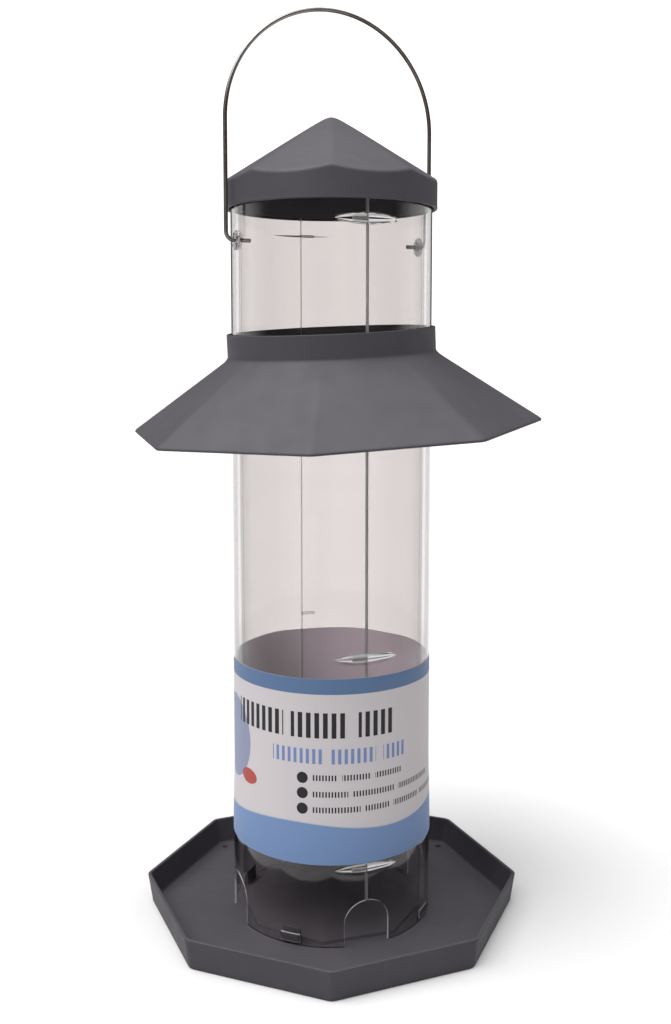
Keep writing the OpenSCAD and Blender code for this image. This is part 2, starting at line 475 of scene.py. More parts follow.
def milky_plastic():
    """Translucent bush, unevenly milky and with a slightly lumpy gloss."""
    material, tree, shader = new_material("milky_grommet")
    clouds = noise(tree, place(tree), 420, 3)
    tint = ramp(tree, clouds, [(0.42, (0.12, 0.115, 0.115)), (0.56, (0.86, 0.85, 0.85))])
    tree.links.new(tint, shader.inputs["Base Color"])
    shader.inputs["Roughness"].default_value = 0.12
    shader.inputs["IOR"].default_value = 1.5
    shader.inputs["Transmission Weight"].default_value = 0.75
    bump(tree, shader, noise(tree, place(tree), 330, 2), 0.7, 0.0006)
    let_lamps_through(tree, shader, (0.6, 0.6, 0.6))
    return material


def drawn_wire():
    """Dull drawn steel with fine lengthwise lines and brownish tarnish."""
    material, tree, shader = new_material("drawn_wire")
    patches = noise(tree, place(tree), 18, 4, 0.6)
    tarnish, dull, bare = (0.085, 0.062, 0.048), (0.14, 0.125, 0.115), (0.26, 0.245, 0.235)
    tint = ramp(tree, patches, [(0.38, tarnish), (0.5, dull), (0.7, bare)])
    tree.links.new(tint, shader.inputs["Base Color"])
    shader.inputs["Metallic"].default_value = 1
    lines = noise(tree, place(tree, (1, 1, 0.05)), 2500, 2)
    tree.links.new(spread(tree, lines, 0.24, 0.4), shader.inputs["Roughness"])
    bump(tree, shader, lines, 0.1, 0.00004)
    return material


class Print:
    """Ink masks over the paper, from the lengths along and up the sheet."""

    def __init__(self, tree):
        self.tree = tree
        uv = node(tree, "ShaderNodeUVMap", uv_map="sheet")
        split = node(tree, "ShaderNodeSeparateXYZ")
        tree.links.new(uv.outputs["UV"], split.inputs["Vector"])
        self.along = self.maths("MULTIPLY", split.outputs["X"], 1 / MM)
        self.up = self.maths("MULTIPLY", split.outputs["Y"], 1 / MM)

    def maths(self, operation, *values):
        return maths(self.tree, operation, *values)

    def within(self, value, low, high):
        return self.maths("COMPARE", value, (low + high) / 2, (high - low) / 2)

    def both(self, a, b):
        return self.maths("MULTIPLY", a, b)

    def any_of(self, masks):
        found = masks[0]
        for mask in masks[1:]:
            found = self.maths("MAXIMUM", found, mask)
        return found

    def disc(self, along, up, radius, up_radius=None):
        """Filled disc, or an ellipse when up_radius is given."""
        a = self.maths("DIVIDE", self.maths("SUBTRACT", self.along, along), radius)
        b = self.maths("SUBTRACT", self.up, up)
        b = self.maths("DIVIDE", b, up_radius or radius)
        total = self.maths("ADD", self.both(a, a), self.both(b, b))
        return self.maths("LESS_THAN", total, 1)

    def row(self, words, low, high, pitch, share):
        """Row of upright strokes that stands for a line of words."""
        spans = self.any_of([self.within(self.along, a, b) for a, b in words])
        phase = self.maths("FRACT", self.maths("DIVIDE", self.along, pitch))
        strokes = self.maths("LESS_THAN", phase, share)
        row = self.both(spans, self.within(self.up, low, high))
        return self.both(row, strokes)

    def ink(self, under, mask, colour):
        mix = node(self.tree, "ShaderNodeMix", data_type="RGBA")
        self.tree.links.new(mask, mix.inputs["Factor"])
        if isinstance(under, tuple):
            mix.inputs[MIX_A].default_value = (*under, 1)
        else:
            self.tree.links.new(under, mix.inputs[MIX_A])
        mix.inputs[MIX_B].default_value = (*colour, 1)
        return mix.outputs[MIX_OUT]


PAPER = (0.47, 0.44, 0.455)
TOP_BLUE = (0.081, 0.138, 0.252)
LOW_BLUE = (0.135, 0.21, 0.375)
EDGE_LINE = (0.36, 0.38, 0.42)
DARK_INK = (0.012, 0.011, 0.014)
BLUE_INK = (0.13, 0.19, 0.38)
PALE_BLUE = (0.2, 0.22, 0.32)
SPOT_RED = (0.33, 0.05, 0.04)
TOP_BAND_Z = 126.1
LOW_BAND_Z = 61.3
WAVE_SHIFT = 21
WAVE_RATE = 0.0598
WAVE_HEIGHT = 1.9


def printed_paper():
    """Printed label: two blue bands, an oval and rows of strokes instead of words."""
    material, tree, shader = new_material("label_print")
    p = Print(tree)
    phase = p.maths("MULTIPLY", p.maths("ADD", p.along, WAVE_SHIFT), WAVE_RATE)
    edge = p.maths("MULTIPLY_ADD", p.maths("COSINE", phase), WAVE_HEIGHT, LOW_BAND_Z)
    above = p.maths("SUBTRACT", p.up, edge)
    colour = p.ink(PAPER, p.maths("LESS_THAN", above, 0.5), EDGE_LINE)
    colour = p.ink(colour, p.maths("LESS_THAN", above, 0), LOW_BLUE)
    colour = p.ink(colour, p.maths("GREATER_THAN", p.up, TOP_BAND_Z), TOP_BLUE)
    colour = p.ink(colour, p.disc(-64, 95.5, 18, 21), PALE_BLUE)
    colour = p.ink(colour, p.disc(-47.5, 79, 6.5, 3.8), SPOT_RED)
    # Rows stand for words: spans along, lowest and highest z, pitch and share of strokes.
    heading = p.row([(-56, -24), (-20, 8), (13, 31)], 104.9, 117.2, 4.1, 0.56)
    colour = p.ink(colour, heading, DARK_INK)
    second = p.row([(-30, -4), (-1, 22), (26, 39)], 92.3, 99.6, 3.1, 0.5)
    colour = p.ink(colour, second, BLUE_INK)
    lines = [
        p.row([(-9, 3), (5, 19), (21.5, 37)], 84.1, 86.9, 1.5, 0.5),
        p.row([(-9, 8), (10.5, 33), (35, 61)], 76, 78.8, 1.5, 0.5),
        p.row([(-9, 14), (16, 30), (32, 50), (52.5, 74)], 68.4, 71.2, 1.5, 0.5),
    ]
    spots = [p.disc(-14.2, z, 2.75) for z in (85.3, 77.8, 70.2)]
    colour = p.ink(colour, p.any_of(lines + spots), DARK_INK)
    tree.links.new(colour, shader.inputs["Base Color"])
    fibres = noise(tree, place(tree), 2200, 3)
    tree.links.new(spread(tree, fibres, 0.42, 0.56), shader.inputs["Roughness"])
    shader.inputs["Specular IOR Level"].default_value = 0.25
    bump(tree, shader, fibres, 0.08, 0.00005)
    return material


def paper_back_with_painted_glow():
    """Unprinted inner face of the label, pale with a faint violet cast: partly the paper's
    own colour, partly painted light shining through the printed front.
    """
    material, tree, shader = new_material("label_back_painted_glow")
    fibres = noise(tree, place(tree), 700, 4)
    # Painted light: pale and violet for light coming in through the printed paper.
    tint = ramp(tree, fibres, [(0.3, (0.96, 0.84, 0.97)), (0.7, (1, 0.88, 1))])
    tree.links.new(tint, shader.inputs["Base Color"])
    shader.inputs["Roughness"].default_value = 0.7
    bump(tree, shader, fibres, 0.1, 0.00006)
    return material


def pale_floor():
    """Matt pale floor with hardly visible clouds."""
    material, tree, shader = new_material("pale_floor")
    clouds = noise(tree, place(tree), 3, 2)
    tint = ramp(tree, clouds, [(0.3, (0.525, 0.525, 0.525)), (0.7, (0.545, 0.545, 0.545))])
    tree.links.new(tint, shader.inputs["Base Color"])
    shader.inputs["Roughness"].default_value = 1
    shader.inputs["Specular IOR Level"].default_value = 0
    return material


# ------------------------------------------------------------------- pieces


def make_tray(plastic):
    """Octagonal tray with soft edges, four drain holes and four snap hooks."""
    foot, rim, fillet = 1.2, 0.5, 2
    inner_rim = TRAY_R - TRAY_WALL
    inner_foot = TRAY_FOOT_R - TRAY_WALL
    profile = arc(TRAY_FOOT_R - foot, foot, foot, -90, 0)
    profile += arc(TRAY_R - rim, TRAY_H - rim, rim, 0, 90)
    profile += arc(inner_rim + rim, TRAY_H - rim, rim, 90, 180)
    profile += arc(inner_foot - fillet, FLOOR_T + fillet, fillet, 0, -90)
    tray = ring_solid("tray_body", octagon_rings(profile, TRAY_ROUND), plastic)
    # The cuts need a closed skin that faces outwards, and no modifiers.
    settle_normals(tray)
    tray.modifiers.clear()
    for i in range(4):
        drill(tray, at_turn(45 + i * QUARTER, DRAIN_AT, 0), DRAIN_R)
    bm = bmesh.new()
    bm.from_mesh(tray.data)
    bmesh.ops.scale(bm, vec=(1 / MM,) * 3, verts=bm.verts)
    for i in range(4):
        add_hook(bm, HOOK_TURN + i * QUARTER)
    bmesh.ops.scale(bm, vec=(MM,) * 3, verts=bm.verts)
    bm.to_mesh(tray.data)
    bm.free()
    return settle_normals(tray)


def drill(obj, at, radius):
    """Cuts a round upright hole through obj."""
    cutter = bpy.data.meshes.new("drill")
    bm = bmesh.new()
    bmesh.ops.create_cone(
        bm,
        cap_ends=True,
        segments=28,
        radius1=radius * MM,
        radius2=radius * MM,
        depth=10 * MM,
        matrix=Matrix.Translation(Vector(at) * MM),
    )
    bm.to_mesh(cutter)
    bm.free()
    tool = bpy.data.objects.new("drill", cutter)
    bpy.context.scene.collection.objects.link(tool)
    cut = obj.modifiers.new("cut", "BOOLEAN")
    cut.operation = "DIFFERENCE"
    cut.object = tool
    cut.solver = "EXACT"
    apply_modifiers(obj)
    bpy.data.objects.remove(tool)


def add_hook(bm, turn):
    """Post inside the tube's foot with a barb that reaches out through a window."""
    old = set(bm.verts)
    half = HOOK_W / 2
    post = TUBE_IN_R - HOOK_GAP
    sunk = 0.3
    block(bm, (-half, -post, FLOOR_T - sunk), (half, -post + HOOK_T, HOOK_TOP_Z))
    block(bm, (-half, -HOOK_REACH, HOOK_LOW_Z), (half, -post + 0.5, HOOK_HIGH_Z))
    made = [v for v in bm.verts if v not in old]
    spin = Matrix.Rotation(math.radians(turn), 3, "Z")
    bmesh.ops.transform(bm, matrix=spin.to_4x4(), verts=made)


def ridge_distance(turn, radius):
    """Distance from the axis to the octagon's side, blended softly at the corners."""
    off = (turn + HALF_SIDE) % 45 - HALF_SIDE
    sides = [
        radius * math.cos(math.radians(off - HALF_SIDE - 45 * k)) for k in (-1, 0, 1, 2)
    ]
    most = max(sides)
    total = sum(math.exp((s - most) / RIDGE_SOFT) for s in sides)
    return most + RIDGE_SOFT * math.log(total)


def make_spreader(plastic):
    """Low octagonal pyramid that pushes the seed out to the ports."""
    rise = SPREADER_TOP_Z - FLOOR_T
    fall = rise / (SPREADER_R * math.cos(math.radians(HALF_SIDE)))
    base = SPREADER_R - 0.4
    tip_soft, tip_rise, rim_h = 2.2, 1.2, 0.35
    rings = []
    for share in (0.02, 0.05, 0.09, 0.15, 0.25, 0.4, 0.6, 0.8, 0.95, 1):
        ring = []
        for t in TURNS:
            r = share * soft_octagon(t, base, SPREADER_ROUND)
            d = math.hypot(ridge_distance(t, r), tip_soft)
            z = max(SPREADER_TOP_Z + tip_rise - fall * d, FLOOR_T + rim_h)
            ring.append(at_turn(t + SPREADER_TURN, r, z))
        rings.append(ring)
    for z in (0.2, 0.03):
        widths = [soft_octagon(t, SPREADER_R, SPREADER_ROUND) for t in TURNS]
        foot = [at_turn(t + SPREADER_TURN, r, FLOOR_T + z) for t, r in zip(TURNS, widths)]
        rings.append(foot)
    return settle_normals(ring_solid("spreader_cone", rings, plastic))


def roof_height(turn, radius):
    out = math.hypot(ridge_distance(turn, radius), ROOF_TIP_SOFT)
    return ROOF_APEX_Z - ROOF_FALL * out


def make_roof(plastic):
    """Lift-off roof: octagonal pyramid on a round skirt, with an inner ring."""

    def ring(radius, height):
        return [at_turn(t, radius, height(t)) for t in TURNS]

    def level(z):
        return lambda t: z

    rings = [
        ring(r, lambda t, r=r: roof_height(t, r))
        for r in (0.5, 1, 1.6, 2.4, 3.4, 4.6, 6, 8, 11, 15, 20, 26, 32, 38, 44, 48, 50.4)
    ]
    shoulder = 1.4
    # The slope falls less along a ridge than across a face: this lies between.
    mean_fall = ROOF_FALL * 0.97
    for step in (0, 0.2, 0.4, 0.6, 0.8, 1):
        # A curve from the slope to the skirt, pulled towards their meeting line.
        inward, down = (1 - step) ** 2 * shoulder, step**2 * shoulder
        rings.append(
            ring(
                ROOF_R - inward,
                lambda t, i=inward, d=down: roof_height(t, ROOF_R) + i * mean_fall - d,
            )
        )
    lip = [(ROOF_R, 358.1), (ROOF_R + 0.12, 357.8), (ROOF_R + 0.12, 357.4)]
    lip += arc(ROOF_R - 0.28, SKIRT_Z + 0.4, 0.4, 0, -90, 4)
    lip += arc(SKIRT_IN_R + 0.3, SKIRT_Z + 0.3, 0.3, -90, -180, 4)
    ring_out = RING_R + RING_T
    lip += [(SKIRT_IN_R, SEAT_Z - 0.4), (SKIRT_IN_R - 0.4, SEAT_Z)]
    lip += [(ring_out + 0.4, SEAT_Z), (ring_out, SEAT_Z - 0.4)]
    lip += arc(ring_out - 0.3, RING_Z + 0.3, 0.3, 0, -90, 3)
    lip += arc(RING_R + 0.3, RING_Z + 0.3, 0.3, -90, -180, 3)
    rings += [ring(r, level(z)) for r, z in lip]
    for r in (RING_R, 44, 38, 32, 26, 20, 15, 11, 8, 5, 2.5, 1):
        rings.append(ring(r, lambda t, r=r: roof_height(t, r) - ROOF_WALL_FALL))
    return settle_normals(ring_solid("roof_shell", rings, plastic))


def make_shelter(plastic):
    """Rain shelter: a round collar that flows into an octagonal brim."""
    slope_h = BRIM_DROP - BRIM_EDGE_H - COLLAR_H

    def outer(share, up=0.0):
        ring = []
        for t in TURNS:
            wide = soft_octagon(t, BRIM_R, BRIM_ROUND)
            r = COLLAR_R + share * (wide - COLLAR_R)
            ring.append(at_turn(t, r, -COLLAR_H - slope_h * share + up))
        return ring

    def inner(share):
        ring = []
        for t in TURNS:
            wide = soft_octagon(t, BRIM_R - BRIM_T, BRIM_ROUND - BRIM_T)
            r = COLLAR_IN_R + share * (wide - COLLAR_IN_R)
            top = -COLLAR_H - SLOPE_DROP
            ring.append(at_turn(t, r, top - share * (BRIM_DROP + top)))
        return ring

    def edge(inset, z):
        return [at_turn(t, soft_octagon(t, BRIM_R, BRIM_ROUND) - inset, z) for t in TURNS]

    def level(r, z):
        return [at_turn(t, r, z) for t in TURNS]

    rings = [level(r, z) for r, z in arc(COLLAR_IN_R + 0.35, -0.35, 0.35, 180, 90, 4)]
    rings += [level(r, z) for r, z in arc(COLLAR_R - 0.35, -0.35, 0.35, 90, 0, 4)]
    rings += [level(COLLAR_R, -COLLAR_H + 1.4), level(COLLAR_R + 0.08, -COLLAR_H + 0.9)]
    rings += [level(COLLAR_R + 0.32, -COLLAR_H + 0.38), outer(0.018, 0.35)]
    rings += [outer(0.034, 0.06), outer(0.06)]
    rings += [outer(i / 16) for i in range(2, 16)] + [outer(0.985)]
    brim_top = -BRIM_DROP + BRIM_EDGE_H
    rings += [edge(0.35, brim_top + 0.12), edge(0.08, brim_top - 0.15)]
    rings += [edge(0, brim_top - 0.45), edge(0, -BRIM_DROP + 0.3)]
    rings += [edge(0.09, -BRIM_DROP + 0.09), edge(0.3, -BRIM_DROP)]
    rings += [inner(i / 16) for i in range(16, -1, -1)]
    rings += [rings[0]]
    shelter = ring_solid("shelter_shell", rings, plastic, False, False)
    sideways = Matrix.Rotation(math.radians(-LEAN_SIDE), 4, "Y")
    lean = sideways @ Matrix.Rotation(math.radians(LEAN_FRONT), 4, "X")
    place_it = (
        Matrix.Translation((0, 0, (SHELTER_Z - LEAN_AT) * MM))
        @ lean
        @ Matrix.Rotation(math.radians(SHELTER_TURN), 4, "Z")
        @ Matrix.Translation((0, 0, LEAN_AT * MM))
    )
    weld(shelter, place_it)
    return settle_normals(shelter)


def make_bail(steel):
    """Bent wire: two stubs through the grommets, two legs and an arch."""
    half = [(STUB_IN, PIVOT_Z), (STUB_IN + 3, PIVOT_Z)]
    bend_at = BAIL_HALF - WIRE_BEND
    half += [(u, z) for u, z in arc(bend_at, PIVOT_Z + WIRE_BEND, WIRE_BEND, -90, 0, 10)]
    legs = [PIVOT_Z + WIRE_BEND + 5.5 * i for i in range(1, 9)]
    half += [(BAIL_HALF, z) for z in legs]
    top = arc(0, ARCH_Z, BAIL_HALF, 0, 180, 72)
    line = half + top + [(-u, z) for u, z in reversed(half)]
    out = Vector(at_turn(BAIL_TURN, 1, 0))
    points = [out * u + Vector((0, 0, z)) for u, z in line]
    across = out.cross(Vector((0, 0, 1)))
    sides = 20
    rings = []
    for i, at in enumerate(points):
        ahead = points[min(i + 1, len(points) - 1)] - points[max(i - 1, 0)]
        ahead.normalize()
        other = ahead.cross(across)
        # Rings as (shift along the wire, share of its radius): the ends are rounded.
        ring_at = [(0, 1)]
        if i == 0:
            ring_at = [(-0.3, 0.55), (-0.12, 0.85), (0, 1)]
        if i == len(points) - 1:
            ring_at = [(0, 1), (0.12, 0.85), (0.3, 0.55)]
        for shift, scale in ring_at:
            centre = at + ahead * shift
            ring = []
            for k in range(sides):
                a = 2 * math.pi * k / sides
                way = across * math.cos(a) + other * math.sin(a)
                ring.append(tuple(centre + way * WIRE_R * scale))
            rings.append(ring)
    return settle_normals(ring_solid("bail", rings, steel))


def make_grommet(name, turn, milky):
    """Snap-in bush: a flange on the tube, a neck through it and the wire's bore."""
    face = TUBE_R + GROMMET_GAP
    tail = TUBE_IN_R - GROMMET_T
    soft = 0.3
    profile = arc(GROMMET_R - soft, face + soft, soft, -90, 0, 3)
    profile += arc(GROMMET_R - soft, face + GROMMET_T - soft, soft, 0, 90, 3)
    profile += [(GROMMET_BORE_R + 0.15, face + GROMMET_T)]
    profile += [(GROMMET_BORE_R, face + GROMMET_T - 0.15), (GROMMET_BORE_R, tail + 0.15)]
    profile += [(GROMMET_BORE_R + 0.15, tail), (GROMMET_NECK_R - 0.25, tail)]
    profile += [(GROMMET_NECK_R, tail + 0.25), (GROMMET_NECK_R, face)]
    profile += [profile[0]]
    out = Vector(at_turn(turn, 1, 0))
    side = out.cross(Vector((0, 0, 1)))
    sides = 40
    rings = []
    for radius, along in profile:
        ring = []
        for k in range(sides):
            a = 2 * math.pi * k / sides
            point = out * along + (side * math.cos(a)) * radius
            point += Vector((0, 0, PIVOT_Z + radius * math.sin(a)))
            ring.append(tuple(point))
        rings.append(ring)
    grommet = ring_solid(name, rings, milky, False, False)
    weld(grommet)
    return settle_normals(grommet)


# --------------------------------------------------------------- clear tube

HALF_LEN = math.pi * TUBE_R
COLUMNS = 60
LEVEL_STEP = 8.35
# The lip slot holds pale sheet that is a painted highlight.
CLEAR_SLOT, EDGE_SLOT, STRIP_SLOT, LIP_HIGHLIGHT_SLOT = range(4)


def lens_half(off, half_gap=LOCK_HALF_GAP):
    """Half height of a lock slit at this distance from its seam."""
    return half_gap * np.clip(1 - (off / LOCK_HALF_LEN) ** 2, 0, 1)


def half_gap_at(seam_at, from_turn):
    """The front locks stand open, and those at the back are pulled shut."""
    at_front = (seam_at == 0) == (from_turn == SEAM_TURN)
    return LOCK_HALF_GAP if at_front else SHUT_HALF_GAP


def strip_width(from_turn):
    """Width of the overlap strip at the far end of the half that starts at from_turn."""
    return BACK_STRIP if from_turn == SEAM_TURN else FRONT_STRIP


def slit_heights(half_gap):
    """Locks whose slit shows: all at the front, and only the highest at the back."""
    return LOCK_HEIGHTS if half_gap == LOCK_HALF_GAP else LOCK_HEIGHTS[-1:]


def in_lens(along, up, seam_at, half_gap):
    half = lens_half(along - seam_at, half_gap)
    return np.any([np.abs(up - z) < half for z in slit_heights(half_gap)], axis=0)


def flare(z):
    """How far the tube's foot stands out beyond its radius higher up."""
    share = min(1, max(0, (FLARE_TOP - z) / (FLARE_TOP - FLARE_LOW)))
    return FOOT_FLARE * share * share * (3 - 2 * share)


def in_port(along, up, at):
    off = along - at
    above = np.hypot(off, up - PORT_SPRING_Z) < PORT_HALF_W
    below = (np.abs(off) < PORT_HALF_W) & (up < PORT_SPRING_Z)
    return above | below


def in_window(along, up, at):
    wide = np.abs(along - at) < HOOK_W / 2 + HOOK_GAP
    return wide & (up > HOOK_LOW_Z - HOOK_GAP) & (up < HOOK_HIGH_Z + HOOK_GAP)


def along_of(turn, from_turn):
    """Distance along a half shell's outer face from its own seam."""
    return math.radians((turn - from_turn + 90) % 360 - 90) * TUBE_R


def port_outline(at):
    left = [(at - PORT_HALF_W, TUBE_LOW_Z - 1), (at - PORT_HALF_W, PORT_SPRING_Z / 2)]
    right = [(at + PORT_HALF_W, z) for _, z in reversed(left)]
    top = arc(0, PORT_SPRING_Z, PORT_HALF_W, 0, 180, 36)
    return left + [(at - x, z) for x, z in top] + right


def lens_outline(seam_at, z, half_gap):
    xs = [LOCK_HALF_LEN * math.sin(math.pi / 2 * i / 20) for i in range(-20, 21)]
    top = [(seam_at + x, z + float(lens_half(x, half_gap))) for x in xs]
    bottom = [(seam_at + x, 2 * z - up) for (_, up), x in zip(top[-2:0:-1], xs[-2:0:-1])]
    return top + bottom


def box_outline(left, right, low, high, parts=6):
    wide = [(left + (right - left) * i / parts, low) for i in range(parts + 1)]
    back = [(x, high) for x, _ in reversed(wide)]
    return wide + back


def circle_outline(at, z, radius):
    return [
        (at + radius * math.cos(a), z + radius * math.sin(a))
        for a in [math.pi * i / 16 for i in range(32)]
    ]


def tuck_push(along, up, from_turn):
    """How far a tongue at the back bends out, below 0 for in, behind the other half."""
    if half_gap_at(0, from_turn) == LOCK_HALF_GAP or along > TUCK_RUN:
        return 0.0
    if min(abs(up - z) for z in LOCK_HEIGHTS) > TAB_HALF_H + 0.02:
        return 0.0
    return -TUCK * min(1.0, (TUCK_RUN - along) / TUCK_RUN)


def lip_push(along, up, from_turn):
    """How far the sheet is pressed out beside a front lock slit, below 0 for in."""
    for seam_at in (0, HALF_LEN):
        if half_gap_at(seam_at, from_turn) != LOCK_HALF_GAP:
            continue
        off = along - seam_at
        reach = 1 - (off / LOCK_HALF_LEN) ** 2
        if reach <= 0:
            continue
        for z in LOCK_HEIGHTS:
            h = abs(up - z)
            if h > LOCK_HALF_GAP + LIP_FLAT + LIP_FADE:
                continue
            if seam_at == 0 and h <= TONGUE_HALF_H + 0.02:
                return 0.0
            beyond = max(0.0, h - float(lens_half(off)) - LIP_FLAT * reach)
            fall = max(0.0, 1 - beyond / LIP_FADE)
            return -LIP_IN * fall * min(1.0, LIP_RAMP * reach)
    return 0.0


def wall_points(from_turn):
    """Outlines and filling points of one flat half shell, and a test for its inside."""
    loops = []
    gaps = {at: half_gap_at(at, from_turn) for at in (0, HALF_LEN)}
    for at, gap in gaps.items():
        halves = [gap, gap + SHUT_RIM]
        if gap == LOCK_HALF_GAP:
            halves = [SLIT_HALF_H, gap, gap + LOCK_RIM]
        for half in halves:
            loops += [lens_outline(at, z, half) for z in slit_heights(gap)]
    for z in LOCK_HEIGHTS:
        loops += [
            box_outline(-TONGUE_LEN, 0, z - TAB_HALF_H, z + TAB_HALF_H),
            box_outline(0, TUCK_RUN, z - TAB_HALF_H, z + TAB_HALF_H),
            box_outline(0, LOCK_HALF_LEN, z - TONGUE_HALF_H, z + TONGUE_HALF_H, 12),
        ]
    ports = [along_of(SEAM_TURN + QUARTER * i, from_turn) for i in range(4)]
    windows = [along_of(HOOK_TURN + QUARTER * i, from_turn) for i in range(4)]
    ports = [s for s in ports + [HALF_LEN] if -1 < s < HALF_LEN + 1]
    windows = [s for s in windows if 0 < s < HALF_LEN]
    loops += [port_outline(s) for s in ports]
    wide = HOOK_W / 2 + HOOK_GAP
    loops += [
        box_outline(s - wide, s + wide, HOOK_LOW_Z - HOOK_GAP, HOOK_HIGH_Z + HOOK_GAP)
        for s in windows
    ]
    pivot = along_of(BAIL_TURN + (180 if from_turn > SEAM_TURN else 0), from_turn)
    hole_r = GROMMET_NECK_R + GROMMET_GAP
    loops.append(circle_outline(pivot, PIVOT_Z, hole_r))
    low, high = SEAM_GAP, HALF_LEN - SEAM_GAP
    loops.append(box_outline(low, high, TUBE_LOW_Z, TUBE_TOP_Z, COLUMNS))
    strip = strip_width(from_turn)
    loops.append(box_outline(high - strip, high, TUBE_LOW_Z, TUBE_TOP_Z, 1))

    fill = []
    columns = [low + (high - low) * i / COLUMNS for i in range(1, COLUMNS)]
    levels = [TUBE_LOW_Z + LEVEL_STEP * i for i in range(1, 44)]
    columns += [low, high - strip, high]
    fill += [(x, z) for x in columns for z in levels]
    for at, way in ((0, 1), (HALF_LEN, -1)):
        for z in LOCK_HEIGHTS:
            for off in [SEAM_GAP, SEAM_GAP + strip] + list(range(1, LOCK_HALF_LEN + 1)):
                flat = LIP_FLAT * (1 - (off / LOCK_HALF_LEN) ** 2)
                for over in (0, 0.15, 0.3, 0.45, 0.6, 0.75, 0.9, 1.1, 1.6, 2.5):
                    gap = float(lens_half(off)) + flat + over
                    fill += [(at + way * off, z + gap), (at + way * off, z - gap)]

    def inside(along, up):
        sheet = (along > low) & (along < high) & (up > TUBE_LOW_Z) & (up < TUBE_TOP_Z)
        for at, gap in gaps.items():
            sheet &= ~in_lens(along, up, at, gap)
        for s in ports:
            sheet &= ~in_port(along, up, s)
        for s in windows:
            sheet &= ~in_window(along, up, s)
        sheet &= np.hypot(along - pivot, up - PIVOT_Z) > hole_r
        for z in LOCK_HEIGHTS:
            height = np.abs(up - z)
            sheet |= (along > -TONGUE_LEN) & (along <= 0) & (height < TAB_HALF_H)
            sheet |= (along > 0) & (along < LOCK_HALF_LEN) & (height < TONGUE_HALF_H)
        return sheet

    return loops, fill, inside


def flat_triangles(loops, fill, inside):
    """Triangles of the flat sheet between its outlines."""
    points, edges = [], []
    for loop in loops:
        start = len(points)
        points += loop
        n = len(loop)
        edges += [(start + i, start + (i + 1) % n) for i in range(n)]
    points += fill
    made = geometry.delaunay_2d_cdt([Vector(p) for p in points], edges, [], 0, 1e-4, False)
    spots, faces = np.array([tuple(v) for v in made[0]]), made[2]
    middle = np.array([spots[list(f)].mean(axis=0) for f in faces])
    keep = inside(middle[:, 0], middle[:, 1])
    faces = [tuple(f) for f, k in zip(faces, keep) if k]
    used = sorted({i for f in faces for i in f})
    number = {old: new for new, old in enumerate(used)}
    return spots[used].tolist(), [tuple(number[i] for i in f) for f in faces]


def sheet_slot(along, up, from_turn):
    """Which of the shell's materials is here: clear sheet, overlap strip or lip painted
    pale as a highlight.
    """
    for seam_at in (0, HALF_LEN):
        gap = half_gap_at(seam_at, from_turn)
        is_open = gap == LOCK_HALF_GAP
        off = along - seam_at
        for z in slit_heights(gap):
            h = abs(up - z)
            if seam_at == 0 and off < 0 and h < TONGUE_HALF_H:
                return STRIP_SLOT if is_open else LIP_HIGHLIGHT_SLOT
            if is_open and seam_at == 0 and h < lens_half(off, SLIT_HALF_H):
                return CLEAR_SLOT
            if h < lens_half(off, gap + (LOCK_RIM if is_open else SHUT_RIM)):
                return LIP_HIGHLIGHT_SLOT if is_open else EDGE_SLOT
    in_strip = along > HALF_LEN - SEAM_GAP - strip_width(from_turn)
    return STRIP_SLOT if in_strip else CLEAR_SLOT


def slope_at(push_at, along, up):
    """Slopes of the pressed sheet along and up, or 0 where it jumps at a tongue."""
    tiny, jump_along, jump_up = 0.02, 1, 3
    d_along = (push_at(along + tiny, up) - push_at(along - tiny, up)) / tiny / 2
    d_up = (push_at(along, up + tiny) - push_at(along, up - tiny)) / tiny / 2
    if abs(d_along) > jump_along:
        d_along = 0
    if abs(d_up) > jump_up:
        d_up = 0
    return d_along, d_up


def make_half(name, from_turn, materials):
    """One half shell: the flat sheet rolled to the tube's radius, with its tongues."""
    spots, triangles = flat_triangles(*wall_points(from_turn))
    points, normals = [], []
    start = math.radians(from_turn)

    def push_at(along, up):
        pressed = lip_push(along, up, from_turn) + tuck_push(along, up, from_turn)
        return pressed + flare(up)

    for radius, way in ((TUBE_R, 1), (TUBE_IN_R, -1)):
        for along, up in spots:
            push = push_at(along, up)
            d_along, d_up = slope_at(push_at, along, up)
            turn = start + along / TUBE_R
            s, c = math.sin(turn), math.cos(turn)
            points.append((s * (radius + push), -c * (radius + push), up))
            normal = Vector((s, -c, 0)) - d_along * Vector((c, s, 0))
            normal -= d_up * Vector((0, 0, 1))
            normals.append(normal.normalized() * way)
    n = len(spots)
    faces = list(triangles) + [tuple(n + i for i in reversed(f)) for f in triangles]
    seen = {}
    for f in triangles:
        for a, b in zip(f, f[1:] + f[:1]):
            key = (min(a, b), max(a, b))
            seen[key] = None if key in seen else (a, b)
    rims = [pair for pair in seen.values() if pair]
    faces += [(b, a, n + a, n + b) for a, b in rims]
    slots = []
    for f in triangles:
        along, up = np.mean([spots[i] for i in f], axis=0)
        slots.append(sheet_slot(along, up, from_turn))
    ends_at_back = from_turn == SEAM_TURN
    rim_slots = []
    for a, _ in rims:
        slot = sheet_slot(*spots[a], from_turn)
        along = spots[a][0]
        at_back = along > HALF_LEN - 1 if ends_at_back else along < 1
        rim_slots.append(CLEAR_SLOT if at_back or slot == LIP_HIGHLIGHT_SLOT else EDGE_SLOT)
    slots = slots + slots + rim_slots
    half = make_object(name, points, faces, materials, slots)
    half.data.validate()
    half.data.shade_smooth()
    first_rim = 2 * len(triangles)
    loop_normals = []
    for poly in half.data.polygons:
        for i in poly.vertices:
            flat = poly.index >= first_rim
            loop_normals.append(poly.normal.copy() if flat else normals[i])
    half.data.normals_split_custom_set(loop_normals)
    return half


